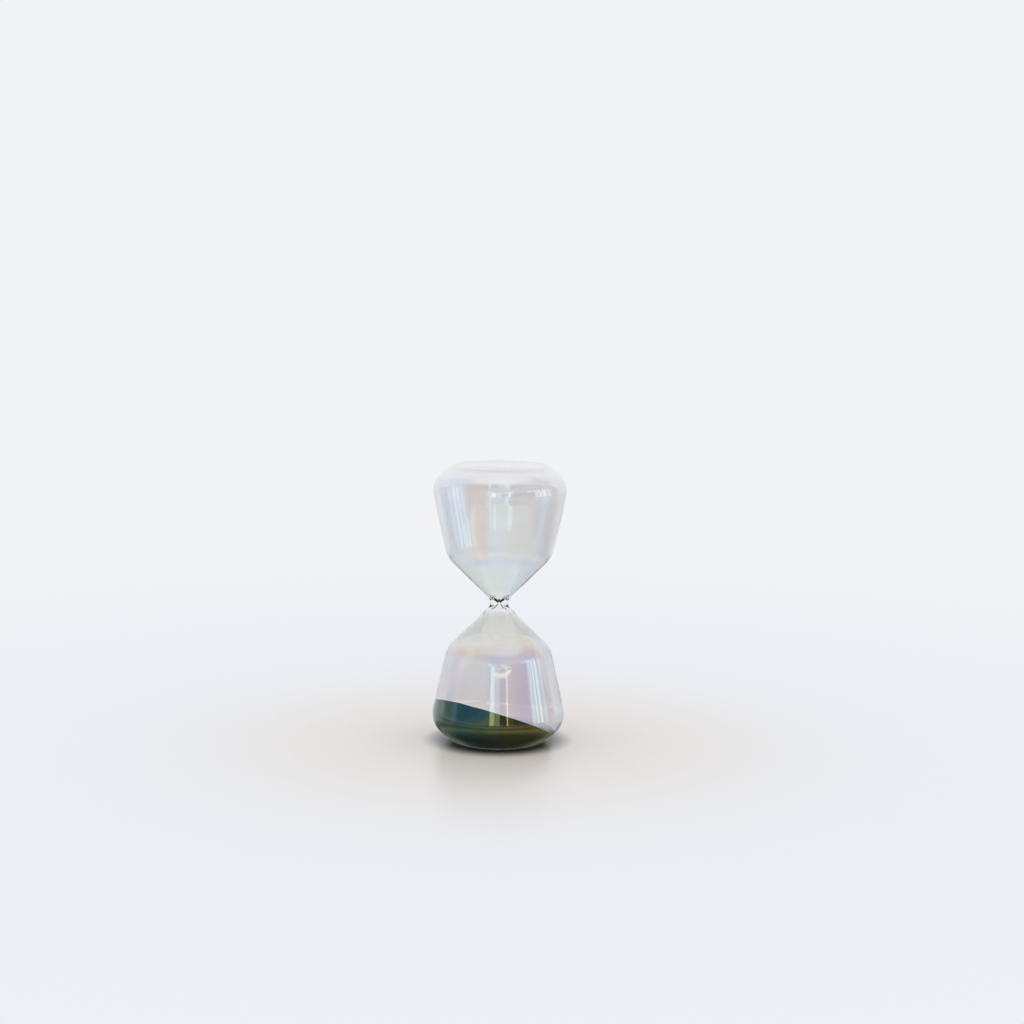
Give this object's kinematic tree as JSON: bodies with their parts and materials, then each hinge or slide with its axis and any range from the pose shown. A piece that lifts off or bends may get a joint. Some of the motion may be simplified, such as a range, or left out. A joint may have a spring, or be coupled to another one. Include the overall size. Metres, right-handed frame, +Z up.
{
  "type": "hourglass",
  "caption": "Sand timer of two rounded blown-glass bulbs fused at a narrow clear neck, with an iridescent coat and dark sand lying on a slope.",
  "frame": {"origin": "middle of the base, on the surface that the hourglass stands on", "axes": "+Z up along the axis of both bulbs; the heap of sand is highest towards -X and -Y and lowest towards +X and +Y"},
  "size_m": [0.102, 0.102, 0.215],
  "materials": {
    "iridescent_glass": "gloss",
    "clear_glass": "gloss",
    "silicone": "satin",
    "sand": "satin"
  },
  "bodies": {
    "glass": {"upper_bulb": "iridescent_glass", "neck": "clear_glass", "lower_bulb": "iridescent_glass", "fill_plug": "silicone"},
    "sand": {"sand": "sand"}
  },
  "joints": [
    {"name": "sand_turn", "type": "hinge", "parent": "glass", "child": "sand", "pos_m": [0, 0, 0], "axis": [0, 0, 1], "continuous": true}
  ]
}
